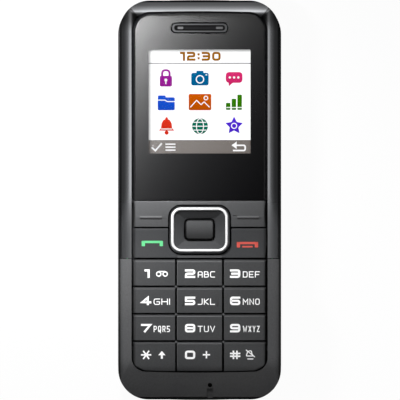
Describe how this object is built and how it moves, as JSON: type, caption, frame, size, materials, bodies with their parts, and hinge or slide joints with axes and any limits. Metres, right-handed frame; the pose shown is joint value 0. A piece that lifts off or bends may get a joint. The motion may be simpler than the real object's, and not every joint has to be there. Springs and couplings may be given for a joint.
{
  "type": "feature phone",
  "caption": "Slim bar phone with a colour display behind a dark lens, a bright-ringed navigation key, a number keypad and a slide-off battery cover.",
  "frame": {"origin": "middle of the flat back, with the phone lying on its back", "axes": "+Z out of the phone's face, +Y towards its earpiece end, +X to the right seen from the front"},
  "size_m": [0.044, 0.108, 0.0144],
  "materials": {
    "frame_gloss": "polished gunmetal plastic",
    "frame_matte": "fine sparked matte, dark grey",
    "lens_clear": "clear polished window",
    "mask_print": "black print behind the lens",
    "trim_grey": "satin grey",
    "mesh_grey": "fine mesh",
    "speaker_metal": "stamped",
    "display_glass": "lit colour display",
    "light_guide": "frosted light guide",
    "holder_white": "moulded",
    "ribbon_film": "amber film",
    "key_silicone": "dark grey silicone",
    "film_clear": "thin film",
    "dome_steel": "stamped domes",
    "mat_silicone": "soft silicone",
    "key_grey": "fine matte, dark grey",
    "ring_chrome": "bright plated",
    "housing_black": "fine matte black",
    "cover_black": "fine matte black",
    "socket_black": "moulded",
    "flap_rubber": "soft black",
    "battery_case": "wrapped cell",
    "contact_gold": "gold plated",
    "connector_black": "moulded",
    "board_green": "solder mask",
    "shield_steel": "tinned sheet",
    "card_plastic": "plain card",
    "screw_steel": "machined",
    "gasket_foam": "foam",
    "motor_steel": "drawn can",
    "weight_brass": "sintered weight",
    "carrier_plastic": "moulded"
  },
  "bodies": {
    "phone": {"front_frame_upper": "frame_gloss", "front_frame_lower": "frame_matte", "display_lens": "lens_clear", "lens_mask": "mask_print", "earpiece_trim": "trim_grey", "earpiece_mesh": "mesh_grey", "earpiece_speaker": "speaker_metal", "lcd_panel": "display_glass", "backlight": "light_guide", "lcd_holder": "holder_white", "lcd_ribbon": "ribbon_film", "keypad_mat": "key_silicone", "dome_film": "film_clear", "key_domes": "dome_steel", "rear_housing": "housing_black", "side_socket": "socket_black", "battery": "battery_case", "battery_terminals": "contact_gold", "battery_contacts": "contact_gold", "battery_connector": "connector_black", "main_board": "board_green", "shield_cans": "shield_steel", "sim_card": "card_plastic", "sim_holder": "shield_steel", "case_screws": "screw_steel", "loudspeaker": "speaker_metal", "speaker_gasket": "gasket_foam", "vibration_motor": "motor_steel", "microphone": "speaker_metal", "mic_boot": "mat_silicone", "antenna_carrier": "carrier_plastic", "antenna_element": "contact_gold"},
    "key_1": {"key_1": "key_grey"},
    "key_2": {"key_2": "key_grey"},
    "key_3": {"key_3": "key_grey"},
    "key_4": {"key_4": "key_grey"},
    "key_5": {"key_5": "key_grey"},
    "key_6": {"key_6": "key_grey"},
    "key_7": {"key_7": "key_grey"},
    "key_8": {"key_8": "key_grey"},
    "key_9": {"key_9": "key_grey"},
    "key_star": {"key_star": "key_grey"},
    "key_0": {"key_0": "key_grey"},
    "key_hash": {"key_hash": "key_grey"},
    "softkey_left": {"softkey_left": "key_grey"},
    "softkey_right": {"softkey_right": "key_grey"},
    "send_key": {"send_key": "key_grey"},
    "end_key": {"end_key": "key_grey"},
    "ok_key": {"ok_key": "key_grey"},
    "battery_cover": {"battery_cover": "cover_black"},
    "port_cover": {"port_cover": "flap_rubber"},
    "nav_pivot": {"nav_gasket": "mat_silicone"},
    "nav": {"nav_key": "key_grey", "nav_ring": "ring_chrome"},
    "motor_rotor": {"motor_shaft": "screw_steel", "motor_weight": "weight_brass"}
  },
  "joints": [
    {"name": "key_1_press", "type": "slide", "parent": "phone", "child": "key_1", "axis": [0, 0, -1], "range_m": [0, 0.00025], "stiffness_N_per_m": 2000},
    {"name": "key_2_press", "type": "slide", "parent": "phone", "child": "key_2", "axis": [0, 0, -1], "range_m": [0, 0.00025], "stiffness_N_per_m": 2000},
    {"name": "key_3_press", "type": "slide", "parent": "phone", "child": "key_3", "axis": [0, 0, -1], "range_m": [0, 0.00025], "stiffness_N_per_m": 2000},
    {"name": "key_4_press", "type": "slide", "parent": "phone", "child": "key_4", "axis": [0, 0, -1], "range_m": [0, 0.00025], "stiffness_N_per_m": 2000},
    {"name": "key_5_press", "type": "slide", "parent": "phone", "child": "key_5", "axis": [0, 0, -1], "range_m": [0, 0.00025], "stiffness_N_per_m": 2000},
    {"name": "key_6_press", "type": "slide", "parent": "phone", "child": "key_6", "axis": [0, 0, -1], "range_m": [0, 0.00025], "stiffness_N_per_m": 2000},
    {"name": "key_7_press", "type": "slide", "parent": "phone", "child": "key_7", "axis": [0, 0, -1], "range_m": [0, 0.00025], "stiffness_N_per_m": 2000},
    {"name": "key_8_press", "type": "slide", "parent": "phone", "child": "key_8", "axis": [0, 0, -1], "range_m": [0, 0.00025], "stiffness_N_per_m": 2000},
    {"name": "key_9_press", "type": "slide", "parent": "phone", "child": "key_9", "axis": [0, 0, -1], "range_m": [0, 0.00025], "stiffness_N_per_m": 2000},
    {"name": "key_star_press", "type": "slide", "parent": "phone", "child": "key_star", "axis": [0, 0, -1], "range_m": [0, 0.00025], "stiffness_N_per_m": 2000},
    {"name": "key_0_press", "type": "slide", "parent": "phone", "child": "key_0", "axis": [0, 0, -1], "range_m": [0, 0.00025], "stiffness_N_per_m": 2000},
    {"name": "key_hash_press", "type": "slide", "parent": "phone", "child": "key_hash", "axis": [0, 0, -1], "range_m": [0, 0.00025], "stiffness_N_per_m": 2000},
    {"name": "softkey_left_press", "type": "slide", "parent": "phone", "child": "softkey_left", "axis": [0, 0, -1], "range_m": [0, 0.00025], "stiffness_N_per_m": 2000},
    {"name": "softkey_right_press", "type": "slide", "parent": "phone", "child": "softkey_right", "axis": [0, 0, -1], "range_m": [0, 0.00025], "stiffness_N_per_m": 2000},
    {"name": "send_key_press", "type": "slide", "parent": "phone", "child": "send_key", "axis": [0, 0, -1], "range_m": [0, 0.00025], "stiffness_N_per_m": 2000},
    {"name": "end_key_press", "type": "slide", "parent": "phone", "child": "end_key", "axis": [0, 0, -1], "range_m": [0, 0.00025], "stiffness_N_per_m": 2000},
    {"name": "ok_key_press", "type": "slide", "parent": "phone", "child": "ok_key", "axis": [0, 0, -1], "range_m": [0, 0.00025], "stiffness_N_per_m": 2000},
    {"name": "nav_tilt_up_down", "type": "hinge", "parent": "phone", "child": "nav_pivot", "pos_m": [0, -0.00802, 0.0103], "axis": [1, 0, 0], "range_deg": [-1.9, 1.9], "stiffness_Nm_per_rad": 0.3},
    {"name": "nav_tilt_left_right", "type": "hinge", "parent": "nav_pivot", "child": "nav", "pos_m": [0, -0.00802, 0.0103], "axis": [0, 1, 0], "range_deg": [-1.9, 1.9], "stiffness_Nm_per_rad": 0.3},
    {"name": "battery_cover_slide", "type": "slide", "parent": "phone", "child": "battery_cover", "axis": [0, -1, 0], "range_m": [0, 0.076]},
    {"name": "port_cover_hinge", "type": "hinge", "parent": "phone", "child": "port_cover", "pos_m": [-0.02145, 0.0347, 0.00655], "axis": [0, 0, -1], "range_deg": [0, 95]},
    {"name": "motor_spin", "type": "hinge", "parent": "phone", "child": "motor_rotor", "pos_m": [-0.0065, 0.0455, 0.0037], "axis": [1, 0, 0], "continuous": true}
  ]
}
